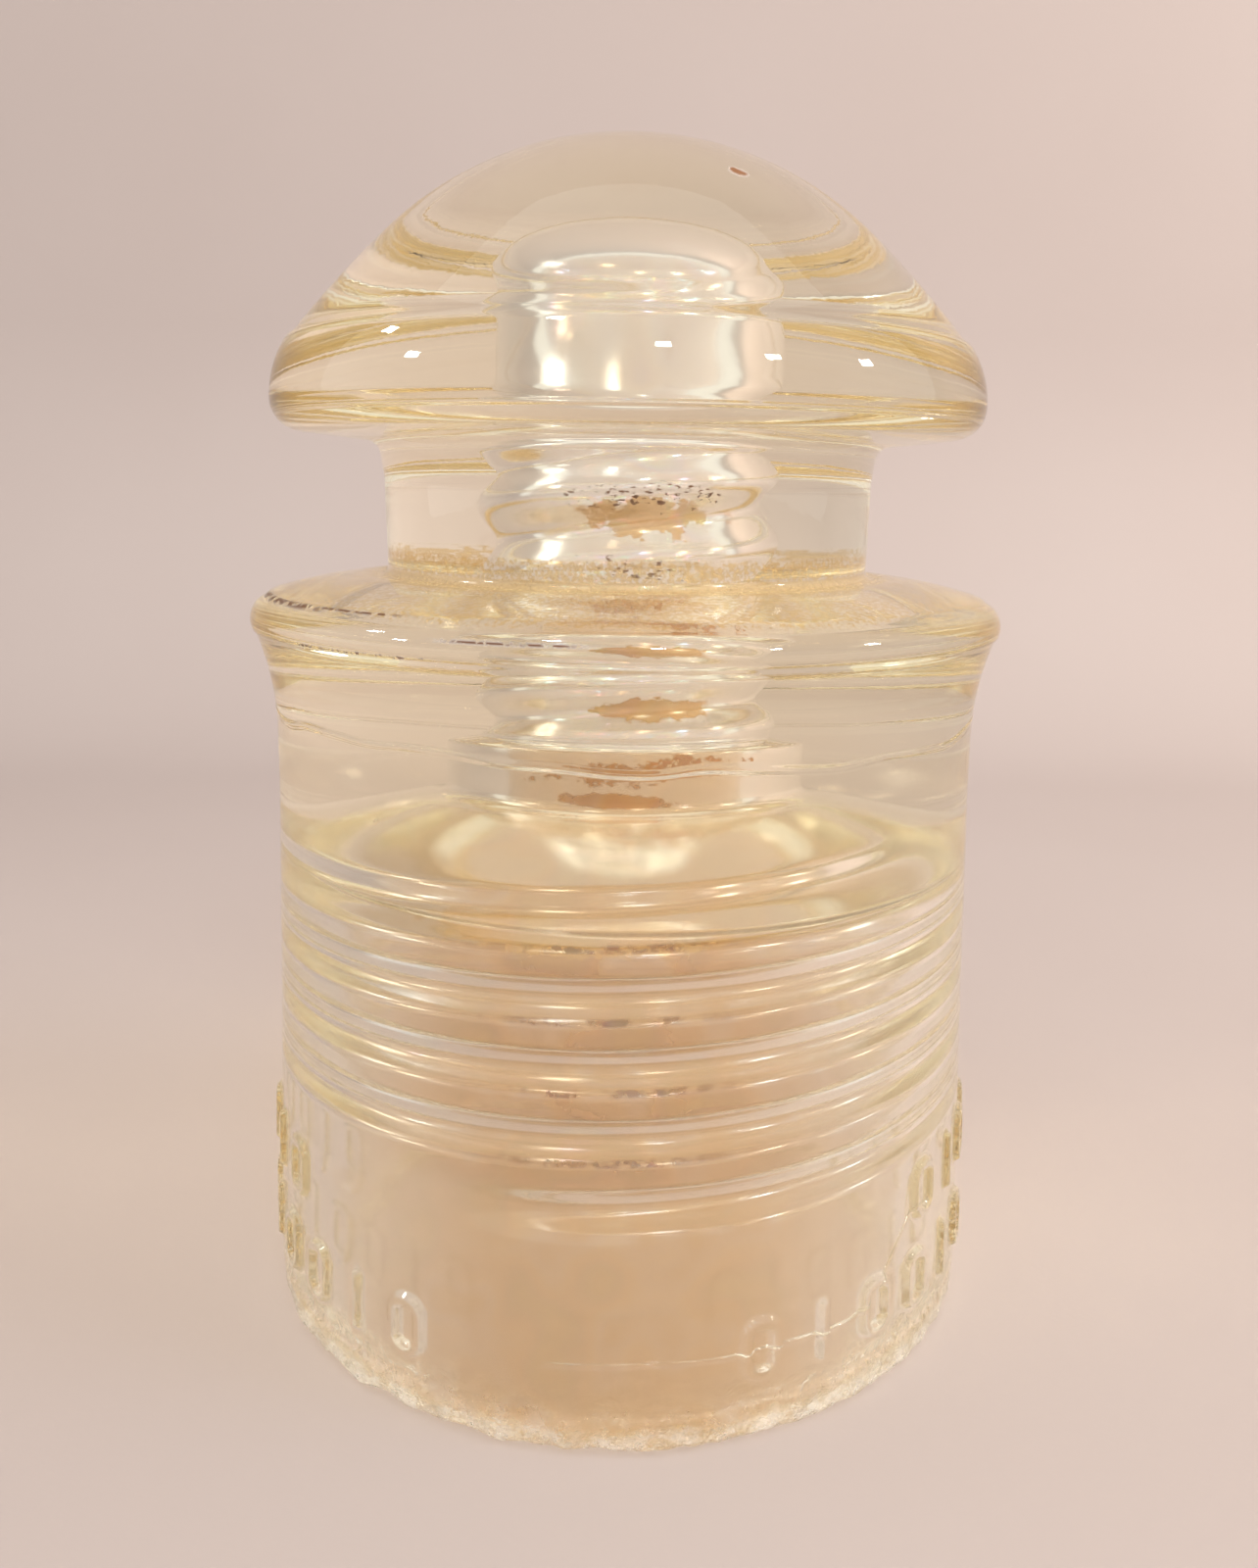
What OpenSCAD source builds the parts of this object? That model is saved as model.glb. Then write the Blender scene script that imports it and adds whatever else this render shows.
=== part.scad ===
// Pressed-glass pin insulator for an overhead telephone or power line.
// One piece of glass: a mushroom crown over a side wire groove, a flanged shoulder and a
// deep open skirt. It screws down on a threaded line pin that fills the small pinhole,
// and the wide skirt round the pin keeps a dry path of glass between wire and pin.
// Origin: centre of the base rim, +Z up the axis of the pin. Millimetres.

/* [Overall] */
// Height from the base rim to the top of the crown
total_h = 101.3; // [99:0.1:104]
// Radius of the shoulder flange, the widest place
flange_r = 33; // [32.5:0.1:34]

/* [Crown and wire groove] */
// Largest radius of the crown
crown_r = 30.9; // [30:0.1:32]
// Height at which the crown is widest
crown_widest_z = 78.9; // [78:0.1:80]
// Radius of the dome on top of the crown
dome_r = 30.5; // [30:0.1:31.5]
// Radius of the neck at the foot of the wire groove
neck_r = 21.3; // [20.5:0.1:22]
// Height of the shoulder's top face at the neck
shoulder_z = 64.4; // [63:0.1:65]
// Height of the crown's underside at the neck
crown_under_z = 75.7; // [75:0.1:76]

/* [Skirt] */
// Outer radius of the skirt below the shoulder
skirt_top_r = 31; // [30.5:0.1:31.5]
// Outer radius of the skirt just above the base rim
skirt_base_r = 32; // [31.6:0.1:32.3]
// Radius of the cavity wall between the threads
cavity_r = 25.7; // [25:0.1:26]
// Radius of the cavity at the base rim
mouth_r = 26.4; // [26.2:0.1:27]

/* [Pinhole] */
// Radius to the crests of the pin thread, the true wall of the hole
pin_minor_r = 7.8; // [7.4:0.1:8]
// Depth of the pin thread
pin_thread_depth = 1.2; // [0.8:0.1:1.3]
// Pitch of the pin thread, four turns to the inch
pin_pitch = 6.35; // [6:0.05:7]
// Height of the top of the pinhole
pinhole_top_z = 86; // [84:0.5:88]
// Radius of the plain relief under the thread
relief_r = 10.7; // [10.2:0.1:11]
// Height of the step between thread and relief
relief_top_z = 52.4; // [51:0.1:53]

/* [Skirt thread] */
// Height of the rounded rib that winds round the cavity wall
skirt_rib_h = 1.6; // [1:0.1:2]
// Pitch of that rib
skirt_pitch = 5.6; // [5.4:0.1:6.4]

/* [Moulded marks] */
// Height by which the plain marks stand proud of the skirt
mark_proud = 0.4; // [0.3:0.1:0.8]
// Height of each mark
mark_h = 5; // [3:0.5:6]
// Width of the stroke that a mark is drawn with
mark_stroke = 0.9; // [0.7:0.1:1.3]
// Width of a mark drawn as a hollow box
mark_box_w = 3.4; // [2.8:0.1:4.5]

/* [Hidden] */

$fn = 96;

// The crown's dome runs into a flatter flank and that into a rounded corner, at these angles
// from the axis
dome_end_a = 44.8;
flank_end_a = 51.3;
flank_r = 98;
crown_corner_r = (crown_r - dome_edge_r() - flank_run_r()) / (1 - sin(flank_end_a));
// Round of the crown's lower lip
lip_r = 2.6;
// The neck tapers a little and flares out under the crown
neck_taper = 0.2;
neck_flare = 1.9;
neck_flare_h = 3.1;
neck_top_round_r = 1.4;
neck_foot_round_r = 0.8;
// The shoulder's top face falls away as one long arc to the flange's round lip
shoulder_arc_r = 39.6;
shoulder_arc_in = 0.9;
flange_lip_r = 2;
flange_lip_z = 60.65;
// The hollow flare under the flange, and the skirt's draft below it
flare_r = 24.4;
flare_foot_z = 51;
skirt_draft = 0.3;
skirt_straight_z = 46;
skirt_draft_z = 28.7;
rim_round_r = 1.2;
// The cavity widens a little towards its mouth and closes in a dome round the relief's lip
mouth_draft = 0.2;
mouth_draft_z = 16;
cavity_straight_z = 22;
cavity_round_r = 4;
cavity_round_z = 36.8;
ceiling_r = 36;
ceiling_centre_z = 12.1;
relief_foot_round_r = 1.2;
relief_foot_z = 47.2;
// The relief's step is a short cone, and the pinhole ends in a flattened dome
relief_cone_h = 1;
pinhole_dome_h = pin_minor_r * 0.5;
// Width of the thread's round and of the skirt's rib as a part of their pitch
pin_thread_share = 0.42;
skirt_rib_share = 0.68;
// Where the thread and the rib start, how many turns they make, and how far their ends fade
pin_thread_start_z = 51.6;
pin_thread_start_a = 180;
pin_thread_turns = 4.6;
pin_thread_fade = 0.18;
skirt_rib_start_z = 17.1;
skirt_rib_start_a = -125;
skirt_rib_turns = 4.35;
skirt_rib_fade = 0.12;
// Rows of marks: the height of the row's foot, and the angles at which its left and right
// groups start
mark_rows = [[5.5, -121, -70], [13, -148, -38]];
mark_step_a = 10;
marks_in_row = 6;
mark_root = 1.6;
// The ribs are swept with this many steps a turn and this many across their round
steps_per_turn = 30;
steps_across = 6;
// The sweep starts this far behind the wall, so that its ends fade out cleanly
bury = 0.2;
// Cutters run past the faces that they open, and touching cutters share this much
past = 1;
lap = 0.01;

// Radius at which the dome hands over to the flank, and what the flank then adds
function dome_edge_r() = dome_r * sin(dome_end_a);
function flank_run_r() = flank_r * (sin(flank_end_a) - sin(dome_end_a));

// Points on an arc round c, with the angle measured from +Z towards +X
function arc(c, r, from_a, to_a, n = 8) = [
    for (i = [0:n])
        let (a = from_a + (to_a - from_a) * i / n)
            [c[0] + r * sin(a), c[1] + r * cos(a)]
];

// Half outline of the outside, from the top of the crown down to the base rim
function outer_outline() =
    let (
        dome_c = [0, total_h - dome_r],
        flank_c = [
            dome_edge_r() - flank_r * sin(dome_end_a),
            dome_c[1] + (dome_r - flank_r) * cos(dome_end_a)
        ],
        corner_c = [crown_r - crown_corner_r, crown_widest_z],
        neck_foot_z = shoulder_z + neck_foot_round_r * 0.75
    )
    concat(
        arc(dome_c, dome_r, 0, dome_end_a, 12),
        arc(flank_c, flank_r, dome_end_a + 1, flank_end_a - 1, 3),
        arc(corner_c, crown_corner_r, flank_end_a + 4, 90, 6),
        arc([crown_r - lip_r, crown_widest_z], lip_r, 106, 176, 6),
        [[neck_r + neck_flare, crown_under_z]],
        arc([neck_r + neck_flare, crown_under_z - neck_top_round_r], neck_top_round_r, -12, -84, 4),
        [[neck_r + neck_taper, crown_under_z - neck_flare_h]],
        arc([neck_r + neck_foot_round_r, neck_foot_z], neck_foot_round_r, -90, -176, 4),
        arc([neck_r - shoulder_arc_in, shoulder_z - shoulder_arc_r], shoulder_arc_r, 5, 16, 5),
        arc([flange_r - flange_lip_r, flange_lip_z], flange_lip_r, 22, 112, 8),
        arc([skirt_top_r + flare_r, flare_foot_z], flare_r, -67, -90, 8),
        [[skirt_top_r, skirt_straight_z], [skirt_top_r + skirt_draft, skirt_draft_z]],
        arc([skirt_base_r - rim_round_r, rim_round_r], rim_round_r, 90, 180, 5),
        arc([mouth_r + rim_round_r, rim_round_r], rim_round_r, 180, 216, 2),
        [[0, rim_round_r * (1 - cos(36))]]
    );

// Half outline of the open space in the skirt
function cavity_outline() = concat(
    [[0, -past], [mouth_r + rim_round_r, -past]],
    arc([mouth_r + rim_round_r, rim_round_r], rim_round_r, 180, 270, 5),
    [[cavity_r + mouth_draft, mouth_draft_z], [cavity_r, cavity_straight_z]],
    arc([cavity_r - cavity_round_r, cavity_round_z], cavity_round_r, 90, 52, 5),
    arc([0, ceiling_centre_z], ceiling_r, 41, 20, 6),
    arc([relief_r + relief_foot_round_r, relief_foot_z], relief_foot_round_r, -165, -90, 4),
    [[0, relief_foot_z]]
);

// A rounded rib wound right-handed round the Z axis. It stands out from wall_r by rise,
// or in towards the axis where rise is negative, and fades away over fade turns.
module helical_rib(wall_r, rise, width, pitch, start_z, start_a, turns, fade) {
    way = sign(rise);
    rings = ceil(turns * steps_per_turn);
    across = steps_across;
    count = across + 3;
    function strength(t) = min(1, t / fade, (turns - t) / fade);
    // The first and last points of the section are its back, the rest its round
    function section(k, s) =
        k == 0 || k == count - 1
            ? [-way * (bury + 1), (k == 0 ? -0.5 : 0.5) * width]
            : [-way * bury + (rise + way * bury) * s * sin(180 * (k - 1) / across),
               ((k - 1) / across - 0.5) * width];
    points = [
        for (i = [0:rings])
            let (
                t = turns * i / rings,
                a = start_a + 360 * t,
                s = strength(t)
            )
            for (k = [0:count - 1])
                let (p = section(k, s))
                    [(wall_r + p[0]) * cos(a), (wall_r + p[0]) * sin(a),
                     start_z + pitch * t + p[1]]
    ];
    side = [
        for (i = [0:rings - 1])
            for (k = [0:count - 1])
                let (a = i * count + k, b = i * count + (k + 1) % count)
                    way > 0
                        ? [a, b, b + count, a + count]
                        : [a, a + count, b + count, b]
    ];
    // The caps' points run one way at the start and the other at the end, from a back point
    order = [for (k = [0:count - 1]) k];
    back_order = [for (k = [0:count - 1]) (count - k) % count];
    start_cap = way > 0 ? back_order : order;
    end_cap = [for (k = way > 0 ? order : back_order) rings * count + k];
    polyhedron(points = points, faces = concat(side, [start_cap, end_cap]), convexity = 10);
}

// The threaded hole for the line pin and the plain relief below it
module pinhole() {
    bottom_z = relief_foot_z - 2;
    dome_z = pinhole_top_z - pinhole_dome_h;
    translate([0, 0, bottom_z])
        cylinder(r = pin_minor_r, h = dome_z - bottom_z);
    translate([0, 0, dome_z])
        rotate_extrude()
            polygon(concat(
                [[0, -lap], [pin_minor_r, -lap]],
                [for (a = [15:15:90]) [pin_minor_r * cos(a), pinhole_dome_h * sin(a)]]
            ));
    translate([0, 0, bottom_z])
        cylinder(r = relief_r, h = relief_top_z - bottom_z);
    translate([0, 0, relief_top_z - lap])
        cylinder(r1 = relief_r, r2 = pin_minor_r, h = relief_cone_h);
    helical_rib(
        wall_r = pin_minor_r,
        rise = pin_thread_depth,
        width = pin_pitch * pin_thread_share,
        pitch = pin_pitch,
        start_z = pin_thread_start_z,
        start_a = pin_thread_start_a,
        turns = pin_thread_turns,
        fade = pin_thread_fade
    );
}

// The rounded rib on the wall of the cavity
module skirt_rib() {
    helical_rib(
        wall_r = cavity_r,
        rise = -skirt_rib_h,
        width = skirt_pitch * skirt_rib_share,
        pitch = skirt_pitch,
        start_z = skirt_rib_start_z,
        start_a = skirt_rib_start_a,
        turns = skirt_rib_turns,
        fade = skirt_rib_fade
    );
}

// One plain mark that stands proud of the skirt: a hollow box, or else an upright stroke
module mark(angle, z, hollow) {
    depth = mark_root + mark_proud - (skirt_base_r - skirt_top_r - skirt_draft) / 2;
    width = hollow ? mark_box_w : mark_stroke;
    rotate([0, 0, angle])
        translate([skirt_base_r - mark_root, -width / 2, z])
            difference() {
                cube([depth, width, mark_h]);
                if (hollow)
                    translate([-past, mark_stroke, mark_stroke])
                        cube([depth + 2 * past, width - 2 * mark_stroke, mark_h - 2 * mark_stroke]);
            }
}

// Two rows of plain raised marks, where such insulators carry their moulded lettering
module marks() {
    for (row = mark_rows)
        for (step = [0:marks_in_row - 1]) {
            hollow = step % 3 != 1;
            mark(row[1] - step * mark_step_a, row[0], hollow);
            mark(row[2] + step * mark_step_a, row[0], hollow);
        }
}

// The whole insulator, a single pressing of clear glass
module glass_insulator() {
    color([0.92, 0.9, 0.78, 0.5])
        union() {
            difference() {
                rotate_extrude()
                    polygon(outer_outline());
                rotate_extrude()
                    polygon(cavity_outline());
                pinhole();
            }
            skirt_rib();
            marks();
        }
}

glass_insulator();
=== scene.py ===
"""A pressed-glass pin insulator standing on a pale cloth.

The object is one piece of glass. Its outline is turned by a spin, and the turns of the pin
thread, the rib in the skirt, the raised marks and the rough base rim are then pushed out of
the turned wall. Lengths are in metres; mm() turns a drawing size into metres.
"""
import math

import bmesh
import bpy
from mathutils import Matrix, Vector, noise


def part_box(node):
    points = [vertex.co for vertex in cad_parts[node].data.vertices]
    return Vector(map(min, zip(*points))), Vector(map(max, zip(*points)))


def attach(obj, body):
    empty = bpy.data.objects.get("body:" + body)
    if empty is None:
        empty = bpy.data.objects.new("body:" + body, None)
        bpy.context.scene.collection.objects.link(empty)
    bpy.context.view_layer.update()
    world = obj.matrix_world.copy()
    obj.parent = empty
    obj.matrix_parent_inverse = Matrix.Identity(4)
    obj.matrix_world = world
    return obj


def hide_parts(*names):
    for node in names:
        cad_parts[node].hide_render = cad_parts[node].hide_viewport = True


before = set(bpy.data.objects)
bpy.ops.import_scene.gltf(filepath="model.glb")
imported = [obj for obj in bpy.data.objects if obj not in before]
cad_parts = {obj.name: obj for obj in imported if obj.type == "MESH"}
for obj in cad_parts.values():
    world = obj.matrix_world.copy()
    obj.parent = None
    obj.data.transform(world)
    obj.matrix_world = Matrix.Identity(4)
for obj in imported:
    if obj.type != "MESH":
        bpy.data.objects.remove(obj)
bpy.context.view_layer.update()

BODY = "root"
NODE = "glass_insulator"


def mm(size):
    """A size in millimetres, in metres."""
    return size * 0.001


# ---------------------------------------------------------------- sizes of the insulator, mm
LOW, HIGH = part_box(NODE)
TOTAL_H = (HIGH[2] - LOW[2]) * 1000
FLANGE_R = (HIGH[0] - LOW[0]) * 500

# The crown is a dome, a flatter flank and a rounded lip. Its arcs end at angles from +Z
DOME_R = 30.5
DOME_END = 44.8
FLANK_R = 98
FLANK_END = 51.3
CROWN_R = 30.9
CROWN_WIDEST_Z = 78.9
LIP_R = 2.6
CROWN_UNDER_Z = 75.7
# The wire groove's straight side, with its flare under the crown
NECK_R = 21.3
NECK_TAPER = 0.2
NECK_FLARE = 1.9
NECK_FLARE_H = 3.1
NECK_TOP_ROUND_R = 1.4
NECK_FOOT_ROUND_R = 0.8
NECK_FOOT_H = 0.6
# The shoulder's height at the neck, and its arc, centred a little inside the neck's side
SHOULDER_Z = 64.4
SHOULDER_ARC_R = 39.6
SHOULDER_ARC_IN = 0.9
FLANGE_LIP_R = 2
FLANGE_LIP_Z = 60.65
# The skirt flares in below the flange and then widens slightly down to the base rim
FLARE_R = 24.4
FLARE_FOOT_Z = 51
SKIRT_STRAIGHT_Z = 46
SKIRT_TOP_R = 31
SKIRT_DRAFT = 0.3
SKIRT_DRAFT_Z = 28.7
SKIRT_BASE_R = 32
RIM_ROUND = 1.2
# Where the chipped part of the base rim starts to show, and where it is at its full
RIM_ROUGH_Z = (3.2, 0.8)
# The cavity, from its mouth up to its domed ceiling
MOUTH_R = 26.4
MOUTH_DRAFT = 0.2
MOUTH_DRAFT_Z = 14
CAVITY_R = 25.7
CAVITY_STRAIGHT_Z = 16
CAVITY_ROUND_R = 4
CAVITY_ROUND_Z = 36.8
CEILING_R = 36
CEILING_CENTRE_Z = 12.1
# The plain relief under the pin thread, with a short cone between them
RELIEF_R = 10.7
RELIEF_FOOT_ROUND_R = 1.2
RELIEF_FOOT_Z = 47.2
RELIEF_TOP_Z = 52.4
RELIEF_EDGE_R = 0.5
RELIEF_CONE_H = 1.2
# How far outside the thread's crests the cone is halfway up
RELIEF_CONE_OUT = 0.5
# The pinhole, to the thread's crests. A power under 1 makes the grooves broader
PIN_MINOR_R = 7.8
PIN_THREAD_DEPTH = 1.2
PIN_THREAD_POWER = 0.85
PIN_PITCH = 6.35
PIN_START_Z = 51.6
PIN_START_ANGLE = 180
PIN_FADE_Z = (80.5, 83)
PINHOLE_TOP_Z = 86
PINHOLE_DOME_H = PIN_MINOR_R * 0.5
# The rib in the skirt. Its width is a part of its pitch, and a power over 1 thins its sides
RIB_H = 1.6
RIB_POWER = 1.3
RIB_WIDTH = 0.68
RIB_PITCH = 5.6
RIB_START_Z = 17.1
RIB_START_ANGLE = -125
RIB_TURNS = 4.35
RIB_FADE_TURNS = 0.12
# The heights that the rib stays between
RIB_BAND_Z = (14, 44)
# The raised marks
MARK_PROUD = 0.5
MARK_H = 5
MARK_STROKE = 0.9
MARK_SOFT_EDGE = 0.22
MARK_BOX_W = 3.4
MARK_CORNER_R = MARK_BOX_W * 0.3
MARK_STEP_ANGLE = 10
MARKS_IN_ROW = 6
# The height of each row's foot, and the angles at which its left and right groups start
MARK_ROWS = ((5.5, -121, -70), (13, -148, -38))
# The top of the part of the skirt that carries the marks
MARK_TOP_Z = 20

# What lies nearer the axis than this is inside: above this height the pinhole's wall and the
# relief's, below it the cavity's wall
PINHOLE_FOOT_Z = 50
PINHOLE_REACH_R = 12
CAVITY_REACH_R = 27.5

# How finely the outline is turned
STEPS_ROUND = 200


# ---------------------------------------------------------------- small helpers
def linear(hex_colour):
    """An sRGB hex colour as linear RGBA."""
    values = [int(hex_colour[i:i + 2], 16) / 255 for i in (0, 2, 4)]
    return [v / 12.92 if v <= 0.04045 else ((v + 0.055) / 1.055) ** 2.4 for v in values] + [1]


def smooth_step(low, high, x):
    """0 below low, 1 above high, with a smooth rise between."""
    t = min(1, max(0, (x - low) / (high - low)))
    return t * t * (3 - 2 * t)


def near_turn(angle, centre):
    """The signed angle in degrees from centre to angle, the short way round."""
    return (angle - centre + 180) % 360 - 180


def add(tree, kind, settings=None, **links):
    """Adds a node. settings holds its properties and its sockets' values; links joins sockets
    to the outputs given. A socket is named, or numbered as in_0, in_1 and so on."""
    node = tree.nodes.new(kind)
    for name, value in (settings or {}).items():
        if isinstance(name, str) and hasattr(node, name):
            setattr(node, name, value)
        else:
            node.inputs[name].default_value = value
    for name, output in links.items():
        key = int(name[3:]) if name.startswith("in_") else name.replace("_", " ")
        tree.links.new(output, node.inputs[key])
    return node


# ---------------------------------------------------------------- the outline
def arc(centre, radius, start, end, count):
    """Points on an arc, with the angle in degrees from +Z towards +X."""
    points = []
    for i in range(count + 1):
        angle = math.radians(start + (end - start) * i / count)
        points.append((centre[0] + radius * math.sin(angle), centre[1] + radius * math.cos(angle)))
    return points


def line(start, end, count):
    """Points from start to end, without start itself."""
    return [
        (start[0] + (end[0] - start[0]) * i / count, start[1] + (end[1] - start[1]) * i / count)
        for i in range(1, count + 1)
    ]


def outside_outline():
    """From the top of the crown down to the outer edge of the base rim."""
    dome_centre = (0, TOTAL_H - DOME_R)
    end, flank_end = math.radians(DOME_END), math.radians(FLANK_END)
    flank_centre = (
        (DOME_R - FLANK_R) * math.sin(end),
        dome_centre[1] + (DOME_R - FLANK_R) * math.cos(end),
    )
    edge = flank_centre[0] + FLANK_R * math.sin(flank_end)
    corner = (CROWN_R - edge) / (1 - math.sin(flank_end))
    points = arc(dome_centre, DOME_R, 0, DOME_END, 26)
    points += arc(flank_centre, FLANK_R, DOME_END + 0.8, FLANK_END, 8)
    points += arc((CROWN_R - corner, CROWN_WIDEST_Z), corner, FLANK_END + 6, 90, 8)
    points += arc((CROWN_R - LIP_R, CROWN_WIDEST_Z), LIP_R, 101, 176, 9)
    # the wire groove
    flare_r, flare_z = NECK_R + NECK_FLARE, CROWN_UNDER_Z - NECK_TOP_ROUND_R
    points += line(points[-1], (flare_r, CROWN_UNDER_Z), 5)
    points += arc((flare_r, flare_z), NECK_TOP_ROUND_R, -14, -84, 6)
    points += line(points[-1], (NECK_R + NECK_TAPER, CROWN_UNDER_Z - NECK_FLARE_H), 2)
    neck_foot = SHOULDER_Z + NECK_FOOT_H
    points += line(points[-1], (NECK_R, neck_foot), 8)
    points += arc((NECK_R + NECK_FOOT_ROUND_R, neck_foot), NECK_FOOT_ROUND_R, -110, -176, 4)
    # the shoulder and the flange
    shoulder_centre = (NECK_R - SHOULDER_ARC_IN, SHOULDER_Z - SHOULDER_ARC_R)
    points += arc(shoulder_centre, SHOULDER_ARC_R, 4.5, 16, 10)
    points += arc((FLANGE_R - FLANGE_LIP_R, FLANGE_LIP_Z), FLANGE_LIP_R, 22, 112, 10)
    # the skirt, with its finest steps where the marks stand
    draft_r = SKIRT_TOP_R + SKIRT_DRAFT
    points += arc((SKIRT_TOP_R + FLARE_R, FLARE_FOOT_Z), FLARE_R, -69, -90, 12)
    points += line(points[-1], (SKIRT_TOP_R, SKIRT_STRAIGHT_Z), 5)
    points += line(points[-1], (draft_r, SKIRT_DRAFT_Z), 16)
    down = (SKIRT_DRAFT_Z - MARK_TOP_Z) / (SKIRT_DRAFT_Z - RIM_ROUND)
    points += line(points[-1], (draft_r + (SKIRT_BASE_R - draft_r) * down, MARK_TOP_Z), 8)
    points += line(points[-1], (SKIRT_BASE_R, RIM_ROUND), 28)
    points += arc((SKIRT_BASE_R - RIM_ROUND, RIM_ROUND), RIM_ROUND, 105, 180, 5)
    return points


def inside_outline():
    """From the inner edge of the base rim up the cavity and the pinhole to the axis."""
    points = arc((MOUTH_R + RIM_ROUND, RIM_ROUND), RIM_ROUND, 180, 270, 5)
    points = line((SKIRT_BASE_R - RIM_ROUND, 0), points[0], 8)[:-1] + points
    points += line(points[-1], (CAVITY_R + MOUTH_DRAFT, MOUTH_DRAFT_Z), 9)
    points += line(points[-1], (CAVITY_R, CAVITY_STRAIGHT_Z), 3)
    points += line(points[-1], (CAVITY_R, CAVITY_ROUND_Z), 50)
    points += arc((CAVITY_R - CAVITY_ROUND_R, CAVITY_ROUND_Z), CAVITY_ROUND_R, 84, 52, 5)
    points += arc((0, CEILING_CENTRE_Z), CEILING_R, 42, 20, 22)
    # the relief and its cone
    points += arc(
        (RELIEF_R + RELIEF_FOOT_ROUND_R, RELIEF_FOOT_Z), RELIEF_FOOT_ROUND_R, 192, 270, 6)
    edge_z = RELIEF_TOP_Z - RELIEF_EDGE_R
    points += line(points[-1], (RELIEF_R, edge_z), 8)
    points += arc((RELIEF_R - RELIEF_EDGE_R, edge_z), RELIEF_EDGE_R, 75, 15, 3)
    points += line(points[-1], (PIN_MINOR_R + RELIEF_CONE_OUT, RELIEF_TOP_Z + RELIEF_CONE_H / 2), 5)
    points += line(points[-1], (PIN_MINOR_R, RELIEF_TOP_Z + RELIEF_CONE_H), 2)
    # the pinhole and its flattened dome
    dome_z = PINHOLE_TOP_Z - PINHOLE_DOME_H
    points += line(points[-1], (PIN_MINOR_R, dome_z), 60)
    dome_steps = 10
    for i in range(1, dome_steps):
        angle = math.radians(90 * i / dome_steps)
        points.append((PIN_MINOR_R * math.cos(angle), dome_z + PINHOLE_DOME_H * math.sin(angle)))
    return points + [(0, PINHOLE_TOP_Z)]


# ---------------------------------------------------------------- what is pushed out of the wall
def pin_thread(angle, z):
    """How far the pin thread's groove goes behind the crests, right-handed."""
    turn = (z - PIN_START_Z) / PIN_PITCH - (angle - PIN_START_ANGLE) / 360
    wave = 0.5 + 0.5 * math.cos(math.tau * turn)
    top_fade = 1 - smooth_step(*PIN_FADE_Z, z)
    foot_fade = smooth_step(RELIEF_TOP_Z, RELIEF_TOP_Z + RELIEF_CONE_H, z)
    return PIN_THREAD_DEPTH * wave ** PIN_THREAD_POWER * top_fade * foot_fade


def skirt_rib(angle, z):
    """How far the rounded rib stands in from the cavity wall, right-handed."""
    part_turn = (angle - RIB_START_ANGLE) % 360 / 360
    height = 0
    for whole in range(int(RIB_TURNS) + 1):
        turn = whole + part_turn
        strength = smooth_step(0, RIB_FADE_TURNS, turn)
        strength *= 1 - smooth_step(RIB_TURNS - RIB_FADE_TURNS, RIB_TURNS, turn)
        across = (z - RIB_START_Z - RIB_PITCH * turn) / (RIB_PITCH * RIB_WIDTH)
        if abs(across) < 0.5:
            height = max(height, RIB_H * strength * math.cos(math.pi * across) ** RIB_POWER)
    return height


def marks():
    """The plain marks, each as its angle, its foot and whether it is a hollow box."""
    for foot, left, right in MARK_ROWS:
        for step in range(MARKS_IN_ROW):
            hollow = step % 3 != 1
            yield left - step * MARK_STEP_ANGLE, foot, hollow
            yield right + step * MARK_STEP_ANGLE, foot, hollow


def raised_mark(angle, z, radius):
    """How far the marks stand out from the skirt, with soft moulded edges."""
    proud = 0
    for centre, foot, hollow in marks():
        across = math.radians(near_turn(angle, centre)) * radius
        up = z - foot - MARK_H / 2
        if abs(across) > MARK_BOX_W or abs(up) > MARK_H:
            continue
        if hollow:
            # distance from the middle line of a box with well rounded corners
            half_w, half_h = (MARK_BOX_W - MARK_STROKE) / 2, (MARK_H - MARK_STROKE) / 2
            out_x = max(0, abs(across) - half_w + MARK_CORNER_R)
            out_y = max(0, abs(up) - half_h + MARK_CORNER_R)
            nearest = max(abs(across) - half_w, abs(up) - half_h)
            if out_x and out_y:
                nearest = math.hypot(out_x, out_y) - MARK_CORNER_R
            off = abs(nearest)
        else:
            off = math.hypot(across, max(0, abs(up) - (MARK_H - MARK_STROKE) / 2))
        inner, outer = MARK_STROKE / 2 - MARK_SOFT_EDGE, MARK_STROKE / 2 + MARK_SOFT_EDGE
        proud = max(proud, MARK_PROUD * (1 - smooth_step(inner, outer, off)))
    return proud


def in_mark_band(angle, z):
    """True on the skirt where the marks need a finer mesh."""
    half_angle, margin = 4.6, 0.8
    return any(
        abs(near_turn(angle, centre)) < half_angle and foot - margin < z < foot + MARK_H + margin
        for centre, foot, hollow in marks()
    )


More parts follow.
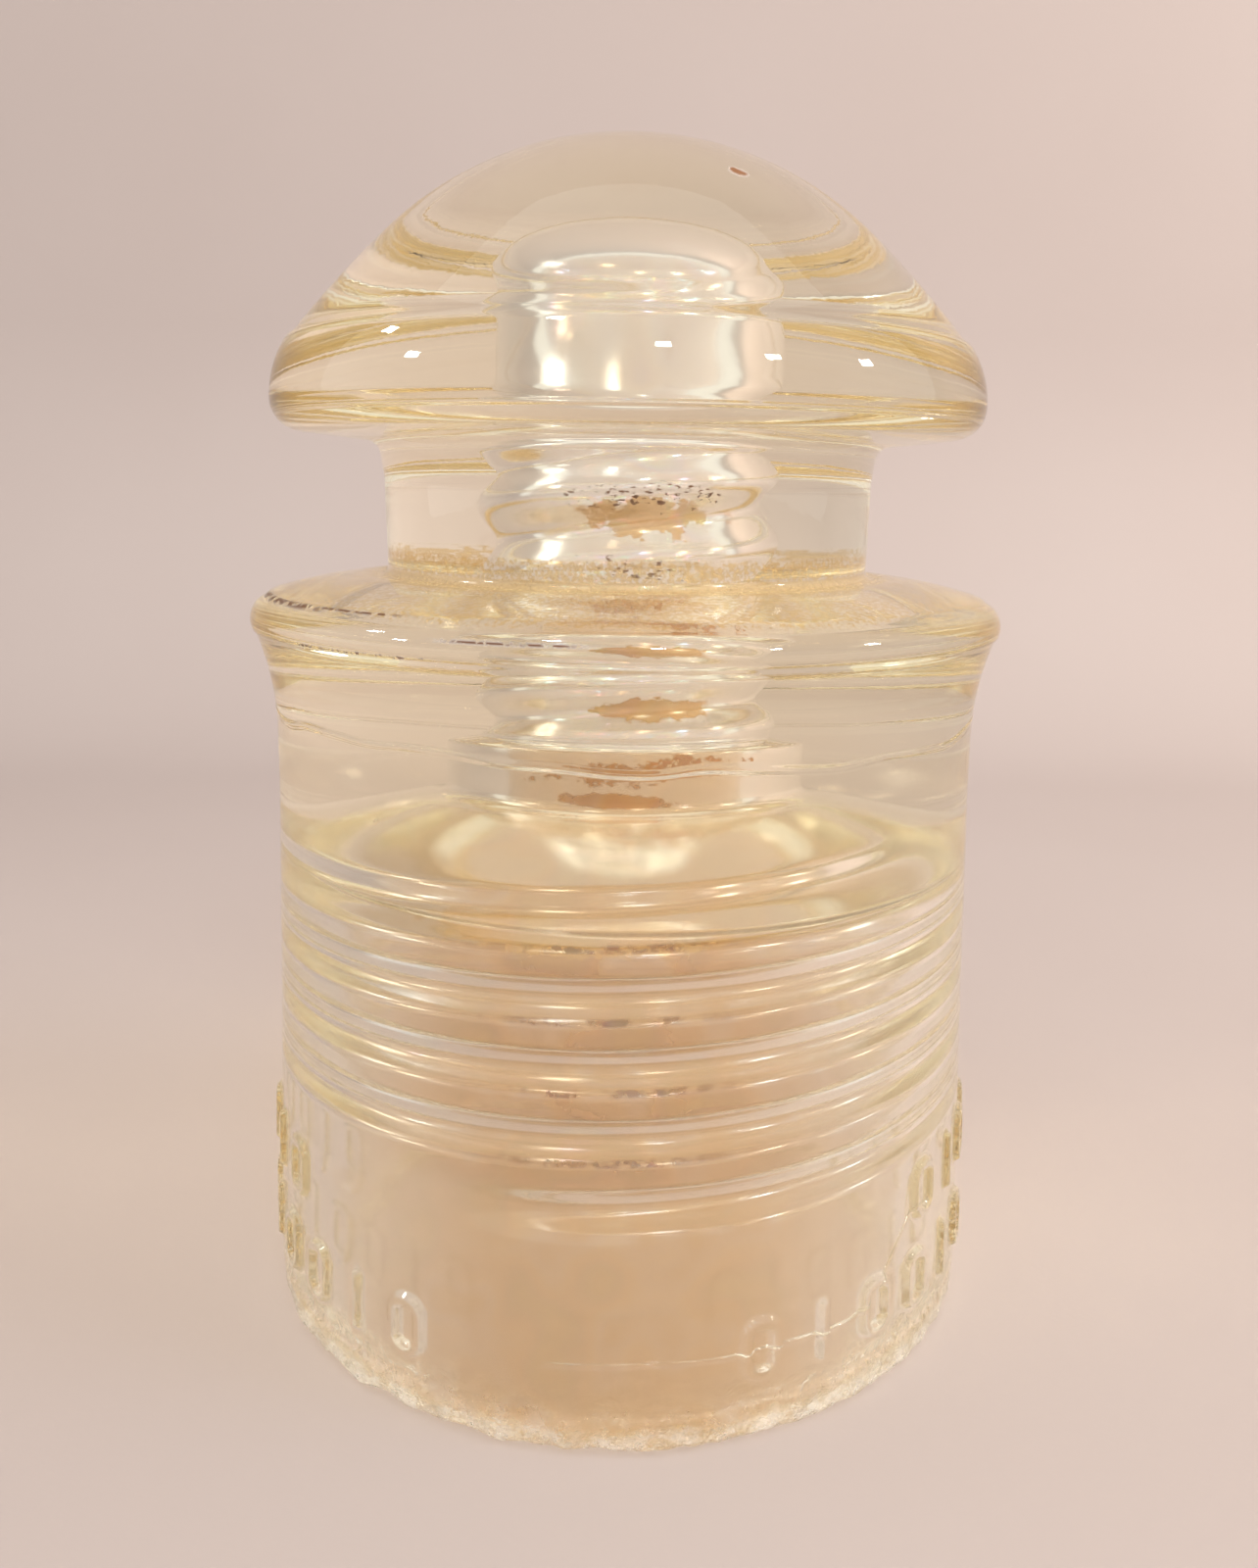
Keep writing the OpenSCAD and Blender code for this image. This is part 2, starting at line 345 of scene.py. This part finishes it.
def glass_mesh():
    """The whole insulator as one closed mesh."""
    outline = outside_outline() + inside_outline()
    mesh = bmesh.new()
    chain = [mesh.verts.new((mm(r), 0, mm(z))) for r, z in outline]
    edges = [mesh.edges.new(pair) for pair in zip(chain, chain[1:])]
    bmesh.ops.spin(
        mesh, geom=chain + edges, cent=(0, 0, 0), axis=(0, 0, 1),
        angle=math.tau, steps=STEPS_ROUND, use_merge=True,
    )
    bmesh.ops.remove_doubles(mesh, verts=mesh.verts, dist=mm(0.002))

    def place(vert):
        x, y, z = vert.co * 1000
        return math.degrees(math.atan2(y, x)), math.hypot(x, y), z

    fine = []
    for edge in mesh.edges:
        spots = [place(vert) for vert in edge.verts]
        if all(r > CAVITY_REACH_R and in_mark_band(angle, z) for angle, r, z in spots):
            fine.append(edge)
    bmesh.ops.subdivide_edges(mesh, edges=fine, cuts=2, use_grid_fill=True)

    for vert in mesh.verts:
        angle, r, z = place(vert)
        on_axis = r < 0.01
        if on_axis:
            continue
        inside = r < (PINHOLE_REACH_R if z > PINHOLE_FOOT_Z else CAVITY_REACH_R)
        grow = surface_waves(vert.co * 1000, inside)
        on_thread = abs(r - PIN_MINOR_R) < RELIEF_CONE_OUT + 0.1
        if inside and z > RELIEF_TOP_Z and on_thread:
            grow += pin_thread(angle, z)
        elif inside and RIB_BAND_Z[0] < z < RIB_BAND_Z[1]:
            grow -= skirt_rib(angle, z)
        elif not inside and z < MARK_TOP_Z:
            grow += raised_mark(angle, z, r)
        rim_grow, lift = ragged_rim(vert.co * 1000)
        grow += rim_grow
        vert.co.x *= (r + grow) / r
        vert.co.y *= (r + grow) / r
        vert.co.z = max(LOW[2], vert.co.z + mm(lift))

    bmesh.ops.recalc_face_normals(mesh, faces=mesh.faces)
    return mesh


def surface_waves(co, inside):
    """Slow unevenness of pressed glass, always inwards on the outside."""
    if inside:
        return 0.06 * noise.noise(co * 0.09 + Vector((7, 3, 1)))
    swell = noise.noise(co * 0.055) + 0.5 * noise.noise(co * 0.14 + Vector((3, 9, 4)))
    depth = 0.05 + 0.06 * smooth_step(40, 5, co.z)
    return -depth * (0.6 + 0.6 * swell)


def ragged_rim(co):
    """Chipped, dripped roughness of the base rim: how far it grows outwards and up."""
    top, full = RIM_ROUGH_Z
    near = 1 - smooth_step(full, top, co.z)
    coarse = noise.noise(co * 0.35 + Vector((11, 5, 2)))
    sharp = noise.noise(co * 1.1 + Vector((2, 8, 6)))
    grow = -near * (0.18 + 0.2 * coarse + 0.14 * sharp)
    lift = near * max(0, 0.25 + 0.5 * coarse + 0.3 * sharp) * 0.7
    return grow, lift


def link_piece(name, mesh, material):
    """An object from a bmesh, which is freed, shaded smooth and of one material."""
    data = bpy.data.meshes.new(name)
    mesh.to_mesh(data)
    mesh.free()
    for face in data.polygons:
        face.use_smooth = True
    data.materials.append(material)
    piece = bpy.data.objects.new(name, data)
    bpy.context.collection.objects.link(piece)
    return piece


def glass_piece(material):
    piece = link_piece("pressed_glass_insulator", glass_mesh(), material)
    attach(piece, BODY)
    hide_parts(NODE)


# ---------------------------------------------------------------- materials
def new_material(name):
    material = bpy.data.materials.new(name)
    material.use_nodes = True
    material.node_tree.nodes.clear()
    return material, material.node_tree


class Masks:
    """Masks over the glass, from 0 to 1, in millimetres and degrees on the object's own axes."""

    def __init__(self, tree):
        self.tree = tree
        self.coords = add(tree, "ShaderNodeTexCoord").outputs["Object"]
        spot = add(tree, "ShaderNodeSeparateXYZ", Vector=self.coords)
        self.x, self.y, self.z = (self.math("MULTIPLY", out, 1000.0) for out in spot.outputs)
        self.radius = self.math("SQRT", self.math(
            "ADD", self.math("MULTIPLY", self.x, self.x), self.math("MULTIPLY", self.y, self.y)))
        self.angle = self.math(
            "MULTIPLY", self.math("ARCTAN2", self.y, self.x), math.degrees(1))

    def math(self, operation, first, second=0.0, clamp=False):
        """A Math node of two values, each a number or an output."""
        node = add(self.tree, "ShaderNodeMath", {"operation": operation, "use_clamp": clamp})
        for i, value in enumerate((first, second)):
            if isinstance(value, (int, float)):
                node.inputs[i].default_value = value
            else:
                self.tree.links.new(value, node.inputs[i])
        return node.outputs[0]

    def times(self, *values):
        product = values[0]
        for value in values[1:]:
            product = self.math("MULTIPLY", product, value)
        return product

    def most(self, *values):
        largest = values[0]
        for value in values[1:]:
            largest = self.math("MAXIMUM", largest, value)
        return largest

    def ramp(self, value, low, high, to_low=0.0, to_high=1.0):
        """to_low below low and to_high above high, with a smooth run between."""
        return add(self.tree, "ShaderNodeMapRange", {
            "interpolation_type": "SMOOTHSTEP", 1: low, 2: high, 3: to_low, 4: to_high,
        }, Value=value).outputs[0]

    def between(self, value, low, high, soft):
        """1 where value is between low and high, with soft edges."""
        return self.times(
            self.ramp(value, low - soft, low + soft),
            self.ramp(value, high - soft, high + soft, 1.0, 0.0))

    def speckle(self, size, detail, low, high, stretch=(1, 1, 1)):
        """Fractal patches about size across, 0 below low and 1 above high."""
        moved = add(self.tree, "ShaderNodeMapping", {"Scale": stretch}, Vector=self.coords)
        pattern = add(self.tree, "ShaderNodeTexNoise", {
            "Scale": 1 / mm(size), "Detail": detail, "Roughness": 0.6}, Vector=moved.outputs[0])
        return self.ramp(pattern.outputs["Fac"], low, high)

    def spot(self, centre, size, ragged):
        """A ragged round patch about the point centre."""
        offset = add(self.tree, "ShaderNodeVectorMath", {
            "operation": "DISTANCE", 1: [mm(c) for c in centre]}, in_0=self.coords)
        away = self.math("MULTIPLY", offset.outputs["Value"], 1000.0)
        pattern = add(self.tree, "ShaderNodeTexNoise", {
            "Scale": 1 / mm(size), "Detail": 3}, Vector=self.coords)
        away = self.math("ADD", away, self.times(pattern.outputs["Fac"], ragged))
        return self.ramp(away, size * 0.8, size * 1.2, 1.0, 0.0)

    def blot(self, centre_x, centre_z, half_w, half_h, climb=0.0, ragged=0.5):
        """A ragged ellipse on the near side. It rises by climb mm for each mm towards +X."""
        across = self.math("SUBTRACT", self.x, centre_x)
        up = self.math("SUBTRACT", self.z, centre_z)
        up = self.math("SUBTRACT", up, self.times(across, climb))
        away = self.math("SQRT", self.math(
            "ADD", self.math("POWER", self.math("DIVIDE", across, half_w), 2.0),
            self.math("POWER", self.math("DIVIDE", up, half_h), 2.0)))
        edge = self.times(self.speckle(1.2, 3, 0.2, 0.8), ragged)
        return self.times(
            self.ramp(self.math("ADD", away, edge), 0.9, 1.15, 1.0, 0.0),
            self.ramp(self.y, -4.0, -2.0, 1.0, 0.0))

    def ridge(self, value, width):
        """1 on the line where value is 0, 0 at width and more from it."""
        return self.ramp(self.math("ABSOLUTE", value), 0.0, width, 1.0, 0.0)


def pinhole_wall(m):
    """The pinhole's wall, thread and all."""
    return m.between(m.radius, 6, 9.6, 0.2)


def shoulder_dust(m):
    """Ochre dust on the shoulder, thickest in the corner at the neck."""
    top = m.times(m.between(m.z, 61, 66.5, 0.6), m.between(m.radius, 20, 31.5, 1.2))
    corner = m.times(m.between(m.z, 62.5, 64.9, 0.3), m.between(m.radius, 20.5, 24, 1.6))
    return m.most(
        m.times(top, m.speckle(0.4, 4, 0.3, 0.8), 0.5),
        m.times(corner, m.speckle(0.5, 3, -0.3, 0.9), 0.55))


def pole_tar(m):
    """Brown flecks of creosote: scratches on the shoulder and specks in the pinhole."""
    def scratch(value, at, width, start, end, soft, grain):
        return m.times(
            m.ridge(m.math("SUBTRACT", value, at), width),
            m.between(m.angle, start, end, soft), m.speckle(*grain))

    on_lip = m.ramp(m.z, 61.6, 61.9)
    lip = m.most(
        scratch(m.radius, 31.45, 0.6, -167, -136, 4, (0.9, 4, 0.4, 0.52)),
        scratch(m.radius, 31.3, 0.3, -140, -120, 4, (0.6, 3, 0.46, 0.54)))
    on_face = m.ramp(m.radius, 32.2, 32.4)
    face = m.most(
        scratch(m.z, 61.5, 0.24, -113, -95, 3, (0.45, 2, 0.42, 0.5)),
        scratch(m.z, 60.1, 0.2, -140, -114, 3, (0.45, 2, 0.5, 0.56)))
    upper = m.times(
        m.blot(1.5, 71.6, 6.5, 1.7, 0.05), m.speckle(0.6, 5, 0.54, 0.62, (1, 1, 1.8)))
    lower = m.times(
        m.blot(0.5, 65.2, 5.0, 1.5, -0.15), m.speckle(0.8, 4, 0.56, 0.62, (1, 1, 2)))
    return m.most(
        m.times(on_lip, lip), m.times(on_face, face),
        m.times(pinhole_wall(m), m.most(upper, lower)))


def tan_smears(m):
    """Thin tan smears of old wood on the near side of the pinhole and of the cavity's dome."""
    hole = pinhole_wall(m)
    ceiling = m.between(m.radius, 21.5, 26, 0.3)
    return m.most(
        m.times(hole, m.blot(1.5, 69.8, 6.0, 2.6, 0.0, 0.8), 0.5),
        m.times(hole, m.blot(1.5, 56.6, 4.5, 1.8, 0.05, 0.6), 0.7),
        m.times(ceiling, m.blot(-3.0, 38.9, 13.0, 1.5, 0.0, 0.5), 0.7))


def relief_rust(m):
    """Rust and rotten wood on the near wall of the plain relief, and a smear below it."""
    wall = m.between(m.radius, 10, 13, 0.3)
    patch = m.times(
        wall, m.blot(1.0, 50.2, 9.0, 1.7, 0.12, 0.9), m.speckle(0.35, 5, 0.32, 0.58))
    smear = m.times(wall, m.blot(-0.5, 47.3, 4.5, 0.8, -0.05, 0.5), 0.75)
    return m.most(patch, smear)


def cavity_grime(m):
    """Brown grime left between the turns of the rib, on the near wall of the cavity: a soft
    stain in each valley, and a darker broken edge to it."""
    risen = m.math("DIVIDE", m.math("SUBTRACT", m.z, RIB_START_Z), RIB_PITCH)
    wound = m.math("DIVIDE", m.math("SUBTRACT", m.angle, RIB_START_ANGLE), 360)
    turn = m.math("SUBTRACT", risen, wound)
    wave = m.math("COSINE", m.times(turn, math.tau))
    near = m.times(
        m.between(m.radius, 21, 27, 0.3), m.between(m.z, 19, 45, 3),
        m.ramp(m.y, -12.0, -4.0, 1.0, 0.0), m.between(m.x, -13, 11, 9))
    valley = m.times(near, m.ramp(wave, -0.9, 0.8, 1.0, 0.0), m.speckle(6, 4, 0.1, 0.6))
    edge_turn = m.math("ADD", turn, 0.3)
    edge_wave = m.math("COSINE", m.times(edge_turn, math.tau))
    edge = m.times(
        near, m.ramp(edge_wave, 0.93, 0.99), m.between(m.x, -9, 7, 5),
        m.speckle(1.2, 4, 0.42, 0.6))
    return valley, edge


def creases(m):
    """Lines that the closing mould left in the skin of the glass, as heights."""
    wander = m.times(m.math("SUBTRACT", m.speckle(14, 1, 0.2, 0.8), 0.5), 1.6)
    round_body = m.times(
        m.ridge(m.math("SUBTRACT", m.math("SUBTRACT", m.z, 52.8), wander), 0.45),
        m.ramp(m.radius, 29.0, 30.0))
    crown = m.times(
        m.ridge(m.math("SUBTRACT", m.z, CROWN_WIDEST_Z - 1.2), 0.3), m.ramp(m.radius, 29.0, 29.5))
    climb = m.ramp(m.angle, -56.0, -36.0, 7.6, 15.2)
    low_line = m.times(
        m.ridge(m.math("SUBTRACT", m.math("SUBTRACT", m.z, climb), m.times(wander, 0.4)), 0.35),
        m.ramp(m.radius, 30.0, 30.5), m.between(m.angle, -100, -41, 1.5))
    return m.most(round_body, crown, m.times(low_line, 1.8))


def pressed_soda_glass():
    """Fire-polished pressed soda-lime glass, old stock. It gives the eye a clear body that
    turns straw yellow where it is thick, a bright skin, and the dirt of years on a pole."""
    material, tree = new_material("pressed_soda_glass")
    m = Masks(tree)

    # the cavity with the relief, the pinhole, the base rim, and what lies on them
    cavity = m.times(m.ramp(m.radius, 27.2, 27.6, 1.0, 0.0), m.ramp(m.z, 52.0, 52.6, 1.0, 0.0))
    hole = m.times(m.ramp(m.radius, 9.4, 9.8, 1.0, 0.0), m.ramp(m.z, 52.0, 53.0),
                   m.ramp(m.z, 86.5, 88.0, 1.0, 0.0))
    rim = m.ramp(m.z, 0.8, 3.8, 1.0, 0.0)
    frost = m.times(rim, m.speckle(1.6, 5, 0.4, 0.65))
    smears = tan_smears(m)
    front = m.times(cavity, m.ramp(m.y, -14.0, 2.0, 1.0, 0.0), m.between(m.x, -16, 15, 9))
    dust = shoulder_dust(m)
    rust = relief_rust(m)
    valley, edge = cavity_grime(m)
    tar = pole_tar(m)
    chip = m.spot(centre=(7.9, -16.0, 95.6), size=1.3, ragged=1.2)

    # how much of the glass each layer hides
    haze = m.times(cavity, m.speckle(8, 4, 0.2, 0.9), 0.14)
    cover = m.most(
        m.math("ADD", haze, m.times(cavity, 0.06)), m.times(hole, 0.07), m.times(front, 0.3),
        m.times(frost, 0.3), dust, m.times(rust, 0.75), m.times(smears, 0.6),
        m.times(valley, 0.45), m.times(edge, 0.6), m.times(tar, 0.88), m.times(chip, 0.85))

    def tint(below, mask, shade):
        mix = add(tree, "ShaderNodeMix", {"data_type": "RGBA"}, Factor=mask)
        if isinstance(below, list):
            mix.inputs[6].default_value = below
        else:
            tree.links.new(below, mix.inputs[6])
        mix.inputs[7].default_value = linear(shade)
        return mix.outputs[2]

    colour = linear("FFFFFF")
    for mask, shade in (
        (cavity, "FAF3E6"), (front, "D6B78D"), (m.ramp(dust, 0.02, 0.2), "DCC495"),
        (valley, "C69C6E"), (m.ramp(smears, 0.0, 0.5), "D2A970"), (edge, "8E6442"),
        (m.ramp(rust, 0.0, 0.4), "B07C42"), (tar, "643A14"), (chip, "8A5A34"),
    ):
        colour = tint(colour, mask, shade)

    rough = m.most(
        m.times(cavity, 0.16), m.times(hole, 0.15), m.times(frost, 0.35),
        m.ramp(cover, 0.2, 0.7, 0.015, 0.5))

    # slow ripples of the skin, the mould's lines, and the broken grain of the rim
    grain = m.times(rim, m.speckle(1.7, 4, 0.25, 0.75))
    skin = add(tree, "ShaderNodeTexNoise", {"Scale": 1 / mm(2.2), "Detail": 3}, Vector=m.coords)
    height = m.math("ADD", m.times(skin.outputs["Fac"], 0.05), creases(m))
    height = m.math("ADD", height, m.times(grain, 1.1))
    bump = add(tree, "ShaderNodeBump", {"Strength": 1.0, "Distance": mm(0.14)}, Height=height)

    # a faint rainbow film on the inner walls, none on the tar
    clean = m.math("SUBTRACT", 1.0, tar, clamp=True)
    film_depth = m.times(
        m.most(hole, m.times(cavity, 0.6)), clean, m.speckle(6, 1, 0.2, 0.8), 420.0)

    glass = add(tree, "ShaderNodeBsdfPrincipled", {"IOR": 1.5, "Thin Film IOR": 1.8})
    clear = m.math("SUBTRACT", 1.0, cover, clamp=True)
    for name, value in (
        ("Base Color", colour), ("Transmission Weight", clear), ("Roughness", rough),
        ("Normal", bump.outputs[0]), ("Thin Film Thickness", film_depth),
    ):
        tree.links.new(value, glass.inputs[name])

    # lamps shine through the glass on to the cloth, as through a clear body
    path = add(tree, "ShaderNodeLightPath")
    through = add(tree, "ShaderNodeBsdfTransparent", {"Color": linear("FCFAF4")})
    mix = add(tree, "ShaderNodeMixShader", in_0=path.outputs["Is Shadow Ray"],
              in_1=glass.outputs[0], in_2=through.outputs[0])
    body = add(tree, "ShaderNodeVolumeAbsorption", {"Color": linear("FAF1C8"), "Density": 13.0})
    add(tree, "ShaderNodeOutputMaterial", Surface=mix.outputs[0], Volume=body.outputs[0])
    return material


def cotton_sheet():
    """Plain-woven cotton, washed and laid flat. It gives the eye a soft pale pink field."""
    material, tree = new_material("cotton_sheet")
    coords = add(tree, "ShaderNodeTexCoord").outputs["Object"]
    cloudy = add(tree, "ShaderNodeTexNoise", {"Scale": 1 / mm(120), "Detail": 2}, Vector=coords)
    mix = add(tree, "ShaderNodeMix", {"data_type": "RGBA"}, Factor=cloudy.outputs["Fac"])
    mix.inputs[6].default_value = linear("B8ADAA")
    mix.inputs[7].default_value = linear("BEB5B3")
    weave = add(tree, "ShaderNodeTexNoise", {"Scale": 1 / mm(0.5), "Detail": 2}, Vector=coords)
    bump = add(tree, "ShaderNodeBump", {"Strength": 0.12, "Distance": mm(0.1)},
               Height=weave.outputs["Fac"])
    cloth = add(tree, "ShaderNodeBsdfPrincipled", {"Roughness": 0.95, "Specular IOR Level": 0.1},
                Base_Color=mix.outputs[2], Normal=bump.outputs[0])
    add(tree, "ShaderNodeOutputMaterial", Surface=cloth.outputs[0])
    return material


# ---------------------------------------------------------------- the stage
def sweep(material):
    """A floor that turns up into a backdrop behind the object."""
    start_y, turn_y, turn_r, top_z, half = -0.8, 0.2, 0.12, 1.1, 1.2
    shape = bmesh.new()
    outline = [(start_y, 0), (turn_y, 0)]
    turn_steps = 12
    for i in range(1, turn_steps + 1):
        angle = math.radians(90 * i / turn_steps)
        outline.append((turn_y + turn_r * math.sin(angle), turn_r * (1 - math.cos(angle))))
    outline.append((turn_y + turn_r, top_z))
    chain = [shape.verts.new((-half, y, z)) for y, z in outline]
    edges = [shape.edges.new(pair) for pair in zip(chain, chain[1:])]
    pulled = bmesh.ops.extrude_edge_only(shape, edges=edges)
    bmesh.ops.translate(
        shape, vec=(2 * half, 0, 0),
        verts=[v for v in pulled["geom"] if isinstance(v, bmesh.types.BMVert)],
    )
    bmesh.ops.recalc_face_normals(shape, faces=shape.faces)
    link_piece("cloth_sweep", shape, material)


def soft_box(name, spot, aim, size, power, colour, glint):
    """A square area light at spot, turned to aim. A glint shows in the glass and leaves the
    cloth alone, and any other lamp lights the cloth and has no reflection."""
    lamp = bpy.data.lights.new(name, "AREA")
    lamp.shape = "SQUARE"
    lamp.size = size
    lamp.energy = power
    lamp.color = linear(colour)[:3]
    holder = bpy.data.objects.new(name, lamp)
    bpy.context.collection.objects.link(holder)
    holder.location = spot
    holder.rotation_euler = (Vector(aim) - Vector(spot)).to_track_quat("-Z", "Y").to_euler()
    holder.visible_diffuse = not glint
    holder.visible_glossy = glint
    holder.visible_transmission = glint


def studio():
    """Small bright lamps for the glints, broad light from the right and front, a pale room."""
    middle = (0, 0, mm(60))
    glint_size, glint_power = 0.05, 0.45
    for side, spot in (
        ("right", (0.62, -0.14, 0.34)), ("left", (-0.6, -0.22, 0.36)),
        ("front", (0.1, -0.55, 0.5)), ("high", (-0.2, -0.3, 0.7)),
        ("far_left", (-0.55, 0.02, 0.5)), ("far_right", (0.45, -0.45, 0.4)),
    ):
        soft_box("glint_" + side, spot, middle, glint_size, glint_power, "FFFDF8", True)
    for side, spot, aim, power in (
        ("right", (0.65, -0.15, 0.5), (0.3, 0.15, 0), 3.8),
        ("front", (0.15, -0.7, 0.6), (0.1, -0.1, 0), 3.6),
    ):
        soft_box("broad_" + side, spot, aim, 0.35, power, "FFF0E2", False)
    world = bpy.data.worlds.new("pale_room")
    bpy.context.scene.world = world
    world.use_nodes = True
    fill = world.node_tree.nodes["Background"]
    fill.inputs["Color"].default_value = linear("FFFCF8")
    fill.inputs["Strength"].default_value = 0.94


def camera():
    """The camera stands in front, a little above the crown, and looks down at the middle."""
    distance, height = mm(122.19), mm(72.47)
    pitch, yaw, roll = 0.1657, 0.0127, 0.0143
    lens = bpy.data.cameras.new("camera")
    lens.sensor_fit = "VERTICAL"
    lens.sensor_height = 36
    lens.lens = 30.9
    lens.shift_x = -0.0086
    lens.shift_y = -0.0493
    lens.clip_start = 0.01
    holder = bpy.data.objects.new("camera", lens)
    bpy.context.collection.objects.link(holder)
    turn = Matrix.Rotation(-yaw, 4, "Z") @ Matrix.Rotation(math.pi / 2 - pitch, 4, "X")
    turn = turn @ Matrix.Rotation(roll, 4, "Z")
    holder.matrix_world = Matrix.Translation((0, -distance, height)) @ turn
    bpy.context.scene.camera = holder


def set_up_view():
    scene = bpy.context.scene
    scene.view_settings.view_transform = "Standard"
    # light goes round many times inside thick glass before it leaves
    turns_in_glass = 40
    scene.cycles.max_bounces = turns_in_glass
    scene.cycles.transmission_bounces = turns_in_glass
    scene.cycles.glossy_bounces = turns_in_glass
    scene.cycles.transparent_max_bounces = 16


camera()
glass_piece(pressed_soda_glass())
sweep(cotton_sheet())
studio()
set_up_view()
